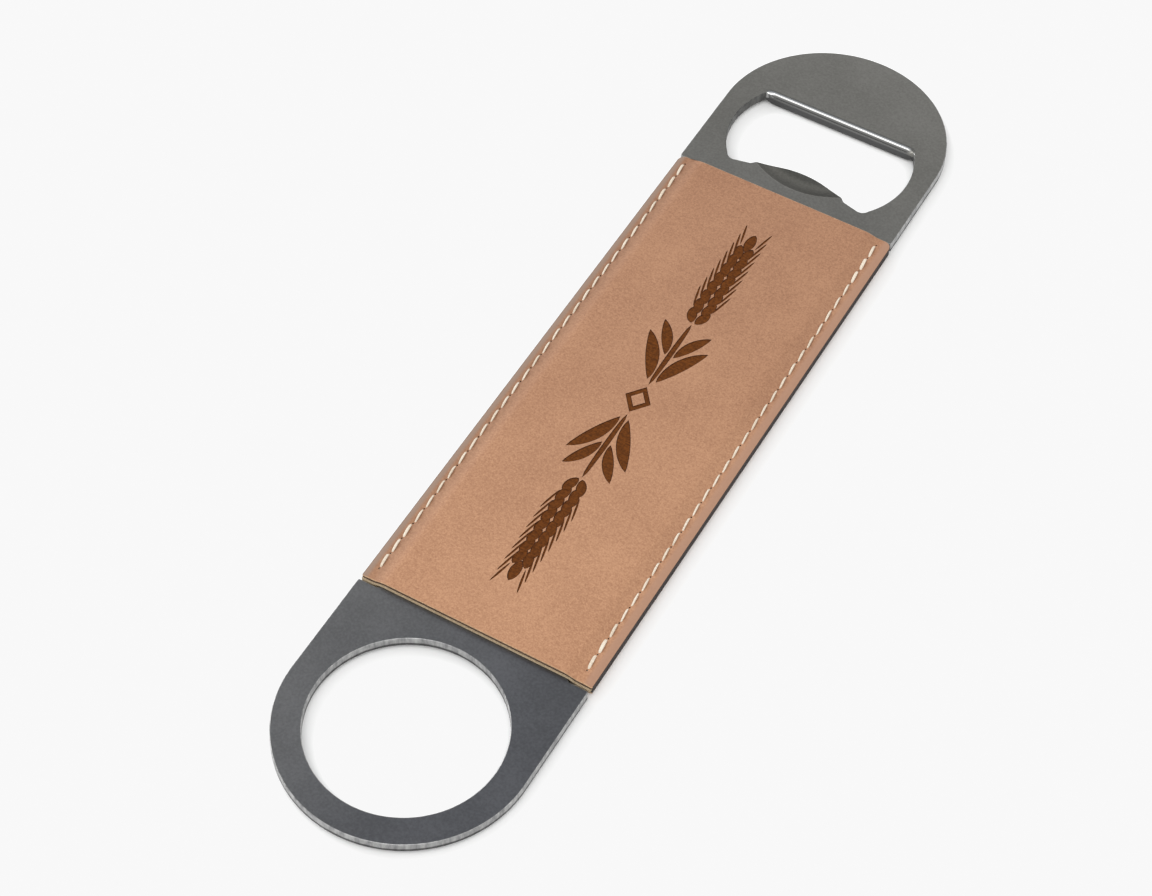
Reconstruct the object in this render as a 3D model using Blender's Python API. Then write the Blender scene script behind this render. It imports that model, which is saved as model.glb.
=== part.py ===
"""Flat bar-blade bottle opener with a stitched leatherette sleeve, as separate solids.

Run in Blender 4.5: blender --background --python part.py
Metres, +Z up. +Y runs along the blade towards the opening mouth, the finger hole is at the
-Y end, and the sleeve's front face looks up. The sleeve's back lies on z = 0.

A sheet part is one plan outline with a height for its top and its bottom at each plan point.
The blade is such a sheet, waisted where the sleeve wraps it, and so is each layer of the
sleeve's two panels. Four continuous threads sew the panels together beside the waist.
"""

import math

import bmesh
import bpy
import numpy as np
from mathutils import Vector
from mathutils.geometry import delaunay_2d_cdt

MM = 0.001

# Blade: 7 inch bar blade
BLADE_LENGTH = 178.0 * MM
BLADE_WIDTH = 40.0 * MM
STEEL = 1.8 * MM  # sheet thickness
END_RADIUS = BLADE_WIDTH / 2
END_CENTRE = BLADE_LENGTH / 2 - END_RADIUS
END_SEGMENTS = 48  # each half-round end

FINGER_HOLE_RADIUS = 15.25 * MM
FINGER_HOLE_Y = -69.3 * MM
FINGER_HOLE_SEGMENTS = 72

# Sleeve: 4 inches long, 40 mm wide and sewn a little off the blade's centre line
SLEEVE_LOW_Y = -50.4 * MM
SLEEVE_HIGH_Y = 51.2 * MM
SLEEVE_LEFT_X = -19.75 * MM
SLEEVE_RIGHT_X = 20.3 * MM
SLEEVE_TOP_CORNER = 1.2 * MM  # towards the mouth
SLEEVE_LOW_CORNER = 0.3 * MM  # towards the finger hole
COAT = 0.25 * MM  # coloured face of the leatherette
CORE = 0.35 * MM  # dark foam that an engraving uncovers
BACKING = 0.25 * MM  # light fabric on the inside
LAYER_GAP = 0.05 * MM  # solids that touch keep this gap
PANEL = COAT + CORE + BACKING + 3 * LAYER_GAP
SLOPE_START = 16.35 * MM  # the panels lie flat on the steel up to here,
SLOPE_END = 17.5 * MM  # and meet each other from here out
FRONT_DROP = 0.45 * MM  # how far the front panel bends to the seam. The back one does the rest

# Waist that the panels are sewn through
WAIST_HALF_WIDTH = 16.2 * MM
WAIST_CLEARANCE = 0.3 * MM
WAIST_CORNER = 0.8 * MM

# Mouth
LIP_Y = 72.4 * MM
LIP_HALF_LENGTH = 14.2 * MM
MOUTH_HALF_WIDTH = 16.35 * MM
MOUTH_WIDEST_Y = 65.6 * MM
SIDE_END = (13.45 * MM, 56.35 * MM)  # where the side's arc runs into the lobe's rounding
LOBE_CORNER = (12.72 * MM, 55.11 * MM)
LOBE_RADIUS = 1.5 * MM
TONGUE_HALF_WIDTH = 8.2 * MM
TONGUE_ROOT_Y = 56.8 * MM
TONGUE_STEP = 0.75 * MM
TONGUE_TIP_Y = 59.0 * MM
TONGUE_FOLD_Y = 54.2 * MM  # where the pressed crescent starts, on the centre line
TONGUE_DROP = 0.8 * MM
LIP_ROLL = 1.1 * MM  # radius that the lip is rolled to
LIP_DEPTH = 0.5 * MM  # how far the rolled lip hangs below the sheet
LIP_HEEL = 2.4 * MM  # from the lip's edge to where the underside is flat again
LIP_TAPER = 1.6 * MM  # the roll runs out over this length at each end

# Stitching
STITCHES = 30
FIRST_HOLE_Y = 49.7 * MM
STITCH_PITCH = 3.25 * MM
SEAM_X = 18.1 * MM
THREAD_RADIUS = 0.2 * MM
LOOP_OFFSET = 0.31 * MM  # the two threads' legs stand at opposite corners of a hole
LOOP_RISE = 0.22 * MM  # each loop passes the other by this much
NEEDLE_HOLE_HALF = 0.55 * MM
THREAD_CLEARANCE = 0.02 * MM

# Heights. The sleeve's back face lies on z = 0.
BLADE_BOTTOM = PANEL
BLADE_TOP = BLADE_BOTTOM + STEEL
MID_PLANE = BLADE_BOTTOM + STEEL / 2
SEAM_PLANE = BLADE_TOP - FRONT_DROP  # where the two panels meet
FRONT_FACE = BLADE_TOP + PANEL


def clear_scene():
    for thing in list(bpy.data.objects):
        bpy.data.objects.remove(thing, do_unlink=True)


def material(name, colour, roughness, metallic=0.0):
    made = bpy.data.materials.new(name)
    made.use_nodes = True
    shader = made.node_tree.nodes["Principled BSDF"]
    shader.inputs["Base Color"].default_value = (*colour, 1.0)
    shader.inputs["Roughness"].default_value = roughness
    shader.inputs["Metallic"].default_value = metallic
    made.diffuse_color = (*colour, 1.0)
    return made


# ---------------------------------------------------------------- plan outlines


def arc(centre, radius, start, end, segments):
    """Points from angle start to angle end, in degrees, both ends included."""
    turns = np.radians(np.linspace(start, end, segments + 1))
    return [(centre[0] + radius * math.cos(t), centre[1] + radius * math.sin(t)) for t in turns]


def arc_through(first, middle, last, segments):
    """The circular arc from first to last that passes through middle."""
    (ax, ay), (bx, by), (cx, cy) = first, middle, last
    twice_area = 2 * (ax * (by - cy) + bx * (cy - ay) + cx * (ay - by))
    aa, bb, cc = ax * ax + ay * ay, bx * bx + by * by, cx * cx + cy * cy
    x = (aa * (by - cy) + bb * (cy - ay) + cc * (ay - by)) / twice_area
    y = (aa * (cx - bx) + bb * (ax - cx) + cc * (bx - ax)) / twice_area
    radius = math.hypot(ax - x, ay - y)
    start = math.degrees(math.atan2(ay - y, ax - x))
    end = math.degrees(math.atan2(cy - y, cx - x))
    through = math.degrees(math.atan2(by - y, bx - x))
    if (through - start) % 360 < (end - start) % 360:
        end = start + (end - start) % 360
    else:
        end = start - (start - end) % 360
    return arc((x, y), radius, start, end, segments)


def rounded(points, radii, segments=5):
    """A closed outline with each corner turned into an arc of its own radius, 0 for sharp."""
    made = []
    for i, (corner, radius) in enumerate(zip(points, radii)):
        here = Vector(corner)
        back = (Vector(points[i - 1]) - here).normalized()
        ahead = (Vector(points[(i + 1) % len(points)]) - here).normalized()
        if radius <= 0:
            made.append(corner)
            continue
        half = back.angle(ahead) / 2
        reach = radius / math.tan(half)
        centre = here + (back + ahead).normalized() * (radius / math.sin(half))
        start, end = here + back * reach - centre, here + ahead * reach - centre
        sweep = start.angle_signed(end)
        for k in range(segments + 1):
            turn = -sweep * k / segments
            made.append(
                (
                    centre.x + start.x * math.cos(turn) - start.y * math.sin(turn),
                    centre.y + start.x * math.sin(turn) + start.y * math.cos(turn),
                )
            )
    return made


def mirrored(half):
    """A closed outline from its +X half, given top to bottom along +X."""
    return half + [(-x, y) for x, y in reversed(half) if abs(x) > 1e-7]


def blade_outline():
    side = END_RADIUS
    low = SLEEVE_LOW_Y - WAIST_CLEARANCE
    high = SLEEVE_HIGH_Y + WAIST_CLEARANCE
    top_end = arc((0, END_CENTRE), END_RADIUS, 0, 180, END_SEGMENTS)
    low_end = arc((0, -END_CENTRE), END_RADIUS, 180, 360, END_SEGMENTS)
    left = [(-side, high), (-WAIST_HALF_WIDTH, high), (-WAIST_HALF_WIDTH, low), (-side, low)]
    right = [(side, low), (WAIST_HALF_WIDTH, low), (WAIST_HALF_WIDTH, high), (side, high)]
    points = top_end + left + low_end + right
    notch = [0.25 * MM, WAIST_CORNER, WAIST_CORNER, 0.25 * MM]
    radii = [0.0] * len(top_end) + notch + [0.0] * len(low_end) + notch
    return rounded(points, radii)


def mouth_outline():
    """Lip at the top, bulging sides, two lobes and the tongue's arc between them."""
    widest = (MOUTH_HALF_WIDTH, MOUTH_WIDEST_Y)
    side = arc_through((LIP_HALF_LENGTH, LIP_Y), widest, SIDE_END, 16)
    step = (TONGUE_HALF_WIDTH + 0.65 * MM, TONGUE_ROOT_Y - TONGUE_STEP)
    root = (TONGUE_HALF_WIDTH - 0.1 * MM, TONGUE_ROOT_Y)
    lobe = rounded([SIDE_END, LOBE_CORNER, step, root], [0, LOBE_RADIUS, 0.5 * MM, 0])
    tongue = arc_through(root, (0, TONGUE_TIP_Y), (-root[0], root[1]), 16)
    return mirrored(side[:-1] + lobe[:-1] + tongue[:9])


def finger_hole_outline():
    return arc((0, FINGER_HOLE_Y), FINGER_HOLE_RADIUS, 0, 360, FINGER_HOLE_SEGMENTS)[:-1]


def sleeve_outline():
    left, right, low, high = SLEEVE_LEFT_X, SLEEVE_RIGHT_X, SLEEVE_LOW_Y, SLEEVE_HIGH_Y
    radii = [SLEEVE_LOW_CORNER, SLEEVE_TOP_CORNER, SLEEVE_TOP_CORNER, SLEEVE_LOW_CORNER]
    return rounded([(right, low), (right, high), (left, high), (left, low)], radii)


def stitch_ys():
    return [FIRST_HOLE_Y - STITCH_PITCH * i for i in range(STITCHES + 1)]


def needle_holes():
    half = NEEDLE_HOLE_HALF
    corners = ((-half, -half), (half, -half), (half, half), (-half, half))
    return [
        [(side * SEAM_X + dx, y + dy) for dx, dy in corners]
        for side in (-1, 1)
        for y in stitch_ys()
    ]


# ---------------------------------------------------------------- sheet bodies


def inside(point, loops):
    """Whether a point lies in the material between the loops, by the even-odd rule."""
    crossings = 0
    for loop in loops:
        ends = np.array(loop)
        starts = np.roll(ends, 1, axis=0)
        spans = (starts[:, 1] > point[1]) != (ends[:, 1] > point[1])
        rise = np.where(spans, ends[:, 1] - starts[:, 1], 1.0)
        x = starts[:, 0] + (point[1] - starts[:, 1]) * (ends[:, 0] - starts[:, 0]) / rise
        crossings += int((spans & (x > point[0])).sum())
    return crossings % 2 == 1


def plan_mesh(loops, guides):
    """Triangles that fill the material, with an edge along every loop and every guide."""
    points, edges = [], []
    for loop in loops:
        first = len(points)
        points += [Vector(p) for p in loop]
        edges += [(first + i, first + (i + 1) % len(loop)) for i in range(len(loop))]
    for guide in guides:
        first = len(points)
        points += [Vector(p) for p in guide]
        edges += [(first + i, first + i + 1) for i in range(len(guide) - 1)]
    flat, _, triangles, *_ = delaunay_2d_cdt(points, edges, [], 0, 1e-7)
    kept = []
    for a, b, c in triangles:
        pa, pb, pc = flat[a], flat[b], flat[c]
        twice_area = (pb - pa).cross(pc - pa)
        if abs(twice_area) < 1e-14 or not inside((pa + pb + pc) / 3, loops):
            continue
        kept.append((a, b, c) if twice_area > 0 else (a, c, b))
    return flat, kept


def sheet(name, look, loops, guides, top, bottom):
    """A closed solid over the plan, between the heights bottom(x, y) and top(x, y)."""
    flat, triangles = plan_mesh(loops, guides)
    made = bmesh.new()
    upper, lower = {}, {}
    for i in sorted({i for triangle in triangles for i in triangle}):
        x, y = flat[i]
        upper[i] = made.verts.new((x, y, top(x, y)))
        lower[i] = made.verts.new((x, y, bottom(x, y)))
    directed = set()
    for a, b, c in triangles:
        made.faces.new((upper[a], upper[b], upper[c]))
        made.faces.new((lower[c], lower[b], lower[a]))
        directed.update(((a, b), (b, c), (c, a)))
    for a, b in directed:
        if (b, a) not in directed:
            made.faces.new((upper[b], upper[a], lower[a], lower[b]))
    mesh = bpy.data.meshes.new(name)
    made.to_mesh(mesh)
    made.free()
    mesh.shade_smooth()
    mesh.set_sharp_from_angle(angle=math.radians(30))
    mesh.materials.append(look)
    solid = bpy.data.objects.new(name, mesh)
    bpy.context.collection.objects.link(solid)
    return solid


def smooth(share):
    share = min(max(share, 0.0), 1.0)
    return share * share * (3 - 2 * share)


# ---------------------------------------------------------------- blade


def tongue_fold(x):
    """The y where the pressed crescent meets the flat sheet, at a distance x from the middle."""
    share = min(abs(x) / TONGUE_HALF_WIDTH, 1.0)
    return TONGUE_FOLD_Y + (TONGUE_ROOT_Y - TONGUE_FOLD_Y) * share * share


def tongue_edge(x):
    share = min(abs(x) / TONGUE_HALF_WIDTH, 1.0)
    return TONGUE_TIP_Y - (TONGUE_TIP_Y - TONGUE_ROOT_Y) * share * share


def tongue_sink(x, y):
    """How far the crescent tongue is pressed below the sheet."""
    if abs(x) >= TONGUE_HALF_WIDTH or y > LIP_Y - LIP_ROLL or y < tongue_fold(x):
        return 0.0
    span = TONGUE_TIP_Y - TONGUE_FOLD_Y
    return TONGUE_DROP * smooth((y - tongue_fold(x)) / (0.75 * span))


def lip_share(x):
    """1 along the lip, 0 past its ends."""
    return smooth((LIP_HALF_LENGTH + 0.2 * MM - abs(x)) / LIP_TAPER)


def blade_top(x, y):
    height = BLADE_TOP - tongue_sink(x, y)
    back = y - LIP_Y
    if -1e-6 <= back < LIP_ROLL and abs(x) < LIP_HALF_LENGTH + LIP_TAPER:
        rise = LIP_ROLL - math.sqrt(max(LIP_ROLL**2 - (LIP_ROLL - back) ** 2, 0.0))
        height -= rise * lip_share(x)
    return height


def blade_bottom(x, y):
    height = BLADE_BOTTOM - tongue_sink(x, y)
    back = y - LIP_Y
    if -1e-6 <= back < LIP_HEEL and abs(x) < LIP_HALF_LENGTH + LIP_TAPER:
        height -= LIP_DEPTH * lip_share(x) * smooth((LIP_HEEL - back) / (0.5 * LIP_HEEL))
    return height


def blade_guides():
    guides = []
    reach = LIP_HALF_LENGTH + LIP_TAPER
    for turn in (15, 30, 45, 60, 75, 90):
        y = LIP_Y + LIP_ROLL * (1 - math.cos(math.radians(turn)))
        guides.append([(-reach, y), (reach, y)])
    for share in (0.5, 0.625, 0.75, 0.875, 1.0):
        y = LIP_Y + LIP_HEEL * share
        guides.append([(-reach, y), (reach, y)])
    steps = 8
    for side in (-1, 1):
        for k in range(5):
            x = side * (LIP_HALF_LENGTH + 0.2 * MM - LIP_TAPER * k / 4)
            guides.append([(x, LIP_Y + 0.05 * MM), (x, LIP_Y + LIP_HEEL)])
    for share in np.linspace(0, 0.9, 7):
        line = []
        for k in range(-steps, steps + 1):
            x = 0.97 * TONGUE_HALF_WIDTH * k / steps
            low, high = tongue_fold(x), tongue_edge(x)
            line.append((x, low + (high - low) * share))
        guides.append(line)
    return guides


def build_blade():
    steel = material("stainless_steel", (0.36, 0.36, 0.37), 0.34, 1.0)
    loops = [blade_outline(), finger_hole_outline(), mouth_outline()]
    sheet("steel_blade", steel, loops, blade_guides(), blade_top, blade_bottom)


# ---------------------------------------------------------------- sleeve


def drop(x, facing):
    """How far a panel's faces move from the flat over the steel towards the seam."""
    whole = FRONT_DROP if facing > 0 else STEEL - FRONT_DROP
    return whole * smooth((abs(x) - SLOPE_START) / (SLOPE_END - SLOPE_START))


def build_panel(side_name, facing, looks):
    """Three laminated layers. facing is 1 for the front panel and -1 for the back one."""
    guides = []
    for side in (-1, 1):
        for share in np.linspace(0, 1, 5):
            x = side * (SLOPE_START + (SLOPE_END - SLOPE_START) * share)
            if abs(abs(x) - SEAM_X) > NEEDLE_HOLE_HALF:
                guides.append([(x, SLEEVE_LOW_Y - MM), (x, SLEEVE_HIGH_Y + MM)])
    loops = [sleeve_outline(), *needle_holes()]
    depth = 0.0
    for layer, thickness in (("coat", COAT), ("core", CORE), ("backing", BACKING)):
        outer, inner = depth, depth + thickness
        depth = inner + LAYER_GAP

        def face(x, below):
            return MID_PLANE + facing * (FRONT_FACE - MID_PLANE - below - drop(x, facing))

        def top(x, _y, near=outer, far=inner):
            return face(x, near if facing > 0 else far)

        def bottom(x, _y, near=outer, far=inner):
            return face(x, far if facing > 0 else near)

        sheet(f"{side_name}_{layer}", looks[layer], loops, guides, top, bottom)


def build_sleeve():
    looks = {
        "coat": material("leatherette_coat", (0.50, 0.27, 0.17), 0.62),
        "core": material("leatherette_core", (0.05, 0.03, 0.025), 0.8),
        "backing": material("backing_fabric", (0.62, 0.55, 0.46), 0.9),
    }
    build_panel("front", 1, looks)
    build_panel("back", -1, looks)


# ---------------------------------------------------------------- stitching


def lockstitch(name, side, facing, look):
    """One continuous thread: a run over the face from hole to hole, and a loop down each hole.

    The needle thread, facing 1, runs over the front and loops under the bobbin thread's loop,
    which comes up from the back. Their legs stand on opposite diagonals of each hole.
    """
    run = SEAM_PLANE + facing * (PANEL + THREAD_RADIUS + THREAD_CLEARANCE)
    crest = run + facing * 0.04 * MM
    loop = SEAM_PLANE - facing * LOOP_RISE
    seam = side * SEAM_X
    route = []
    ys = stitch_ys()
    for i, y in enumerate(ys):
        arriving = (seam + facing * LOOP_OFFSET, y + LOOP_OFFSET)
        leaving = (seam - facing * LOOP_OFFSET, y - LOOP_OFFSET)
        if i > 0:
            route.append((*arriving, run))
        route.append((*arriving, loop))
        route.append((*leaving, loop))
        if i < STITCHES:
            route.append((*leaving, run))
            middle = ((leaving[1] + ys[i + 1] + LOOP_OFFSET) / 2, crest)
            route.append((seam, *middle))
    curve = bpy.data.curves.new(name, "CURVE")
    curve.dimensions = "3D"
    curve.bevel_depth = THREAD_RADIUS
    curve.bevel_resolution = 1
    curve.use_fill_caps = True
    curve.twist_mode = "MINIMUM"
    spline = curve.splines.new("POLY")
    spline.points.add(len(route) - 1)
    for point, place in zip(spline.points, route):
        point.co = (*place, 1.0)
    spline.use_smooth = True
    curve.materials.append(look)
    thread = bpy.data.objects.new(name, curve)
    bpy.context.collection.objects.link(thread)


def build_stitching():
    look = material("sewing_thread", (0.86, 0.79, 0.68), 0.75)
    for side_name, side in (("left", -1), ("right", 1)):
        lockstitch(f"{side_name}_needle_thread", side, 1, look)
        lockstitch(f"{side_name}_bobbin_thread", side, -1, look)


def main():
    clear_scene()
    build_blade()
    build_sleeve()
    build_stitching()


main()
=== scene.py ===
"""Looks of the flat bar-blade bottle opener: satin steel, leatherette, stitches, light and camera.

Metres, in the CAD frame: +Y runs along the blade towards the cap mouth, +Z up out of the front.
The blade and the six layers of the sleeve are sheets: a plan outline, with a height for its top
and its bottom and a rim that goes round its cut edge. Each seam has two threads, and each is
swept along a route from hole to hole.
"""

import math

import bpy
import numpy as np
from mathutils import Matrix, Vector
from mathutils.geometry import delaunay_2d_cdt


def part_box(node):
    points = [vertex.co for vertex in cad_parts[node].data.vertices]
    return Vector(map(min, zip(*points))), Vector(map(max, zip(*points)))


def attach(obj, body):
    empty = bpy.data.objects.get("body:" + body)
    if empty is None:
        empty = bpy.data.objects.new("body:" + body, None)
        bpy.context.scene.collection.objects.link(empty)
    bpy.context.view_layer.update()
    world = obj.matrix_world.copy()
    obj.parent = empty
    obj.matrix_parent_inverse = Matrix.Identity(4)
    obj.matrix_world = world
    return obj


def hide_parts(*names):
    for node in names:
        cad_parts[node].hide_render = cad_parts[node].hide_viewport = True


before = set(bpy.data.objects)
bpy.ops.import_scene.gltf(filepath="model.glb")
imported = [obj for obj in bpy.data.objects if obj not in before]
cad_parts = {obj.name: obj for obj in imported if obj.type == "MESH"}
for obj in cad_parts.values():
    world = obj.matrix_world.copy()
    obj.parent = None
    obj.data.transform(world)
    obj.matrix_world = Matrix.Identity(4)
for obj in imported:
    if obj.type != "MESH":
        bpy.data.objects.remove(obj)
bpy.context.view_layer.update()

MM = 0.001
BODY = "root"

# ---------------------------------------------------------------- sizes
# From the frame's boxes where those hold them, and otherwise as in the CAD.

BLADE_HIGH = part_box("steel_blade")[1]
SLEEVE_LOW, SLEEVE_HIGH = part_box("front_coat")
FRONT_FACE = SLEEVE_HIGH.z
BLADE_TOP = BLADE_HIGH.z
STEEL = 1.8 * MM
BLADE_BOTTOM = BLADE_TOP - STEEL
MID_PLANE = BLADE_TOP - STEEL / 2
END_RADIUS = BLADE_HIGH.x
END_CENTRE = BLADE_HIGH.y - END_RADIUS
BLADE_EDGE_RADIUS = 0.11 * MM  # all its edges are tumbled

FINGER_HOLE_RADIUS = 15.25 * MM
FINGER_HOLE_Y = -69.3 * MM

COAT = 0.25 * MM
CORE_DEPTH = FRONT_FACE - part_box("front_core")[1].z
CORE = 0.35 * MM
BACKING_DEPTH = FRONT_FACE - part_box("front_backing")[1].z
BACKING = 0.25 * MM
PANEL = FRONT_FACE - BLADE_TOP
DRAPE_START = (15.3 * MM, 16.2 * MM)  # where the outermost and the innermost face leave the flat
DRAPE_END = 17.9 * MM
FRONT_DROP = 0.45 * MM  # how far the front panel bends to the seam. The back one does the rest
SEAM_PLANE = BLADE_TOP - FRONT_DROP
EDGE_ROLL = 0.2 * MM  # how far the cut side edges are pressed down
EDGE_ROLL_WIDTH = 1.4 * MM
COAT_SET_BACK = 0.25 * MM  # the coat ends this much short of its backing, by the finger hole
TOP_CORNER = 1.2 * MM  # the sleeve's corners towards the mouth
LOW_CORNER = 0.3 * MM  # and towards the finger hole
SETTLE = 0.03 * MM  # how far the coat lies below its nominal face, which leaves room for its waves
WAVE_HEIGHT = 0.018 * MM
COAT_EDGE_RADIUS = 0.07 * MM
LAYER_EDGE_RADIUS = 0.05 * MM
LAYER_SHRINK = 0.02 * MM  # how far the core and the backing end inside the sleeve's outline

ENGRAVING_DEPTH = 0.09 * MM
WALL_WIDTH = 0.12 * MM  # of the slope down to the engraving's floor
FINE_WALL_WIDTH = 0.05 * MM  # the same in a fine shape
FINE_SHAPE = 2 * MM**2  # the area up to which a shape counts as fine

WAIST_HALF_WIDTH = 16.2 * MM
WAIST_CLEARANCE = 0.3 * MM
WAIST_CORNERS = (0.3 * MM, 0.8 * MM, 0.8 * MM, 0.3 * MM)

LIP_Y = 72.4 * MM
LIP_HALF_LENGTH = 14.2 * MM
LIP_ROLL = 1.1 * MM  # radius that the lip is rolled to
LIP_DEPTH = 0.5 * MM  # how far it hangs below the sheet
LIP_HEEL = 2.4 * MM  # from its edge to where the underside is flat again
LIP_OVERRUN = 0.2 * MM  # how far past the mouth's corners the roll ends
LIP_TAPER = 1.6 * MM  # the length over which it runs out
LIP_REACH = LIP_HALF_LENGTH + LIP_TAPER
MOUTH_HALF_WIDTH = 16.35 * MM
MOUTH_WIDEST_Y = 65.6 * MM
SIDE_END = (13.45 * MM, 56.35 * MM)  # where the side's arc runs into the lobe's rounding
LOBE_CORNER = (12.72 * MM, 55.11 * MM)
LOBE_RADIUS = 1.5 * MM
TONGUE_HALF_WIDTH = 8.2 * MM
TONGUE_ROOT = (8.1 * MM, 56.8 * MM)
TONGUE_STEP = (0.75 * MM, 0.75 * MM)  # from the root across and down to the lobe
STEP_RADIUS = 0.5 * MM
TONGUE_TIP_Y = 59.0 * MM
TONGUE_FOLD_Y = 54.2 * MM  # where the pressed crescent starts, on the centre line
TONGUE_DROP = 0.8 * MM

STITCHES = 30
BACKTACK = 3  # stitches sewn twice at each end
FIRST_HOLE_Y = 49.7 * MM
STITCH_PITCH = 3.25 * MM
SEAM_X = 18.1 * MM
GROOVE_DEPTH = 0.06 * MM  # how far a thread pulls the coat in
GROOVE_SPREAD = 0.42 * MM
PIT_DEPTH = 0.05 * MM  # and how much further at a hole
HOLE_RADIUS = 0.13 * MM
THREAD_RADIUS = 0.17 * MM
PLIES = 3
PLY_TWIST = 1.25 * MM  # length of thread in which its plies go round once

FINE_SPACING = 0.5 * MM  # of the points along an outline's straight stretches
COARSE_SPACING = 1.2 * MM
TOLERANCE = 0.001 * MM


# ---------------------------------------------------------------- plan outlines


def arc(centre, radius, start, end, segments):
    """Points from angle start to angle end, in degrees, both ends included."""
    turns = np.radians(np.linspace(start, end, segments + 1))
    return [(centre[0] + radius * math.cos(t), centre[1] + radius * math.sin(t)) for t in turns]


def arc_through(first, middle, last, segments):
    """The circular arc from first to last that passes through middle."""
    (ax, ay), (bx, by), (cx, cy) = first, middle, last
    twice_area = 2 * (ax * (by - cy) + bx * (cy - ay) + cx * (ay - by))
    aa, bb, cc = ax * ax + ay * ay, bx * bx + by * by, cx * cx + cy * cy
    x = (aa * (by - cy) + bb * (cy - ay) + cc * (ay - by)) / twice_area
    y = (aa * (cx - bx) + bb * (ax - cx) + cc * (bx - ax)) / twice_area
    radius = math.hypot(ax - x, ay - y)
    start = math.degrees(math.atan2(ay - y, ax - x))
    end = math.degrees(math.atan2(cy - y, cx - x))
    through = math.degrees(math.atan2(by - y, bx - x))
    if (through - start) % 360 < (end - start) % 360:
        end = start + (end - start) % 360
    else:
        end = start - (start - end) % 360
    return arc((x, y), radius, start, end, segments)


def rounded(points, radii, segments=8):
    """A closed outline with each corner turned into an arc of its own radius, 0 for sharp."""
    made = []
    for i, (corner, radius) in enumerate(zip(points, radii)):
        here = Vector(corner)
        back = (Vector(points[i - 1]) - here).normalized()
        ahead = (Vector(points[(i + 1) % len(points)]) - here).normalized()
        if radius <= 0:
            made.append(corner)
            continue
        half = back.angle(ahead) / 2
        reach = radius / math.tan(half)
        centre = here + (back + ahead).normalized() * (radius / math.sin(half))
        start, end = here + back * reach - centre, here + ahead * reach - centre
        sweep = start.angle_signed(end)
        for k in range(segments + 1):
            spoke = Matrix.Rotation(-sweep * k / segments, 2) @ start
            made.append(tuple(centre + spoke))
    return made


def divided(points, step):
    """The closed outline with points added along its straight stretches, about a step apart."""
    made = []
    for i, start in enumerate(points):
        end = points[(i + 1) % len(points)]
        parts = max(1, round(math.dist(start, end) / step))
        for k in range(parts):
            share = k / parts
            x = start[0] + (end[0] - start[0]) * share
            y = start[1] + (end[1] - start[1]) * share
            made.append((x, y))
    return made


def mirrored(half):
    """A closed outline from its +X half, given from the top down."""
    return half + [(-x, y) for x, y in reversed(half) if abs(x) > TOLERANCE]


def blade_outline():
    side, waist = END_RADIUS, WAIST_HALF_WIDTH
    low, high = SLEEVE_LOW.y - WAIST_CLEARANCE, SLEEVE_HIGH.y + WAIST_CLEARANCE
    top_end = arc((0, END_CENTRE), END_RADIUS, 0, 180, 150)
    low_end = arc((0, -END_CENTRE), END_RADIUS, 180, 360, 150)
    left = [(-side, high), (-waist, high), (-waist, low), (-side, low)]
    right = [(side, low), (waist, low), (waist, high), (side, high)]
    points = top_end + left + low_end + right
    radii = []
    for end in (top_end, low_end):
        radii += [0.0] * len(end) + list(WAIST_CORNERS)
    return divided(rounded(points, radii), COARSE_SPACING)


def mouth_outline():
    """Lip at the top, bulging sides, two lobes and the tongue's arc between them."""
    widest = (MOUTH_HALF_WIDTH, MOUTH_WIDEST_Y)
    side = arc_through((LIP_HALF_LENGTH, LIP_Y), widest, SIDE_END, 40)
    root_x, root_y = TONGUE_ROOT
    step = (root_x + TONGUE_STEP[0], root_y - TONGUE_STEP[1])
    lobe = rounded([SIDE_END, LOBE_CORNER, step, TONGUE_ROOT], [0, LOBE_RADIUS, STEP_RADIUS, 0])
    tongue = arc_through(TONGUE_ROOT, (0, TONGUE_TIP_Y), (-root_x, root_y), 60)
    half_tongue = tongue[: len(tongue) // 2 + 1]
    return divided(mirrored(side[:-1] + lobe[:-1] + half_tongue), FINE_SPACING)


def sleeve_outline(set_back=0.0):
    """A layer's outline. set_back is how much shorter it is at the end by the finger hole."""
    left, right = SLEEVE_LOW.x, SLEEVE_HIGH.x
    low, high = SLEEVE_LOW.y + set_back, SLEEVE_HIGH.y
    corners = [(right, low), (right, high), (left, high), (left, low)]
    radii = [LOW_CORNER, TOP_CORNER, TOP_CORNER, LOW_CORNER]
    return divided(rounded(corners, radii), FINE_SPACING)


def from_side(x):
    """How far inside the sleeve's nearer long edge a point is."""
    return np.minimum(SLEEVE_HIGH.x - x, x - SLEEVE_LOW.x)


def stitch_ys():
    return [FIRST_HOLE_Y - STITCH_PITCH * i for i in range(STITCHES + 1)]


def needle_holes():
    centres = [(side * SEAM_X, y) for side in (-1, 1) for y in stitch_ys()]
    return [arc(centre, HOLE_RADIUS, 0, 360, 14)[:-1] for centre in centres]


# ---------------------------------------------------------------- engraving


def petal(base, heading, length, width, bend=0.0, fullness=0.75, points=12):
    """A pointed leaf outline from its base point. heading is in degrees from +Y towards +X."""
    spine, spread = [], []
    for k in range(points + 1):
        share = k / points
        turn = math.radians(heading + bend * share)
        spine.append((math.sin(turn), math.cos(turn)))
        spread.append(width / 2 * math.sin(math.pi * share) ** fullness)
    centre = [np.array(base)]
    for ahead in spine[1:]:
        centre.append(centre[-1] + np.array(ahead) * length / points)
    left = [c + np.array((-a[1], a[0])) * w for c, a, w in zip(centre, spine, spread)]
    right = [c + np.array((a[1], -a[0])) * w for c, a, w in zip(centre, spine, spread)]
    return [tuple(p) for p in left + right[-2:0:-1]]


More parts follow.
